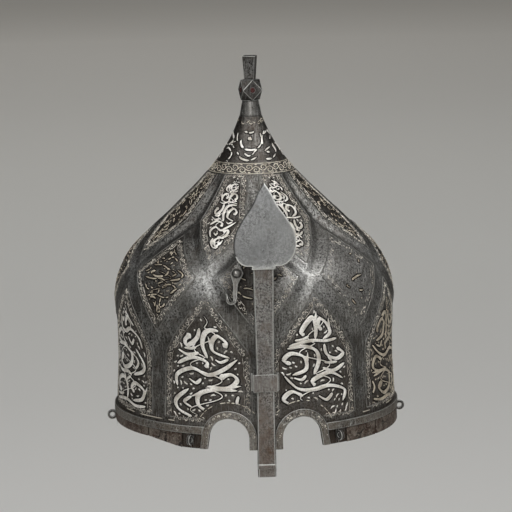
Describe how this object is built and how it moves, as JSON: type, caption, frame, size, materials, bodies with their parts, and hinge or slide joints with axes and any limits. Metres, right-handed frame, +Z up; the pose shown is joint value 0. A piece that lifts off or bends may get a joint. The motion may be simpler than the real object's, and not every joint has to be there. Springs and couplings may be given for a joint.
{
  "type": "turban helmet",
  "caption": "Fluted steel turban helmet drawn up to a finial, with arched eye cut-outs, a sliding nasal bar with a leaf-shaped top, ring eyes for mail at the rim and a swivelling hook",
  "frame": {"origin": "middle of the rim's opening, in the plane of the bowl's lower edge", "axes": "+Z up the bowl's axis to the finial, -Y out of the brow, +X to the viewer's right of the front"},
  "size_m": [0.249, 0.2418, 0.3253],
  "materials": {
    "skull_steel": "old dark steel with silver inlay",
    "fitting_steel": "old dark steel, smooth",
    "rim_iron": "rusty iron",
    "stud_copper": "dull copper"
  },
  "bodies": {
    "helmet": {"bowl": "skull_steel", "apex_collar": "fitting_steel", "finial_knop": "fitting_steel", "knop_studs": "stud_copper", "finial_stem": "fitting_steel", "spindle_rove": "fitting_steel", "left_eye_arch": "skull_steel", "right_eye_arch": "skull_steel", "eye_arch_rivets": "fitting_steel", "rim_band": "skull_steel", "rim_band_rivets": "fitting_steel", "rim_cover_left_front": "rim_iron", "rim_cover_left_side": "rim_iron", "rim_cover_left_rear": "rim_iron", "rim_cover_right_rear": "rim_iron", "rim_cover_right_side": "rim_iron", "rim_cover_right_front": "rim_iron", "rim_cover_rivets": "rim_iron", "vervelles": "fitting_steel", "nasal_bracket": "fitting_steel", "hook_rivet": "fitting_steel", "hook_washer": "fitting_steel"},
    "nasal": {"nasal_bar": "fitting_steel", "nasal_leaf": "fitting_steel", "nasal_leaf_rivets": "fitting_steel"},
    "hook": {"mail_hook": "fitting_steel"}
  },
  "joints": [
    {"name": "nasal_slide", "type": "slide", "parent": "helmet", "child": "nasal", "axis": [0, 0, 1], "range_m": [-0.0835, 0.057]},
    {"name": "hook_swivel", "type": "hinge", "parent": "helmet", "child": "hook", "pos_m": [-0.01978, -0.10371, 0.14006], "axis": [-0.1577, -0.8265, 0.5404], "range_deg": [-75, 30]}
  ]
}
